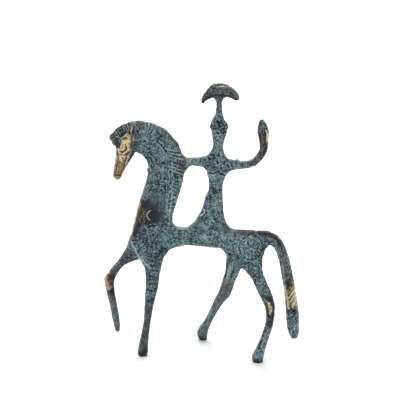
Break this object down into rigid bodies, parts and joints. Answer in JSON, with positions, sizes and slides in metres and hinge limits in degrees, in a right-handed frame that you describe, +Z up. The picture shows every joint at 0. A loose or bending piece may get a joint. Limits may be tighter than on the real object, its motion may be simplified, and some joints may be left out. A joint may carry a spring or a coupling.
{
  "type": "horse and rider statuette",
  "caption": "Flat-cast bronze statuette of a walking horse and a helmeted rider who holds its mane and raises a hand, in worn verdigris patina.",
  "frame": {"origin": "on the ground, under the middle of the figure's bounding box", "axes": "+Z up; the horse faces -X; -Y is its left side, the side seen in the picture"},
  "size_m": [0.1094, 0.0366, 0.1545],
  "materials": {
    "patinated_bronze": "rough cast bronze under blue-green verdigris, rubbed bare in places"
  },
  "bodies": {
    "root": {"horse_and_rider": "patinated_bronze"}
  },
  "joints": []
}
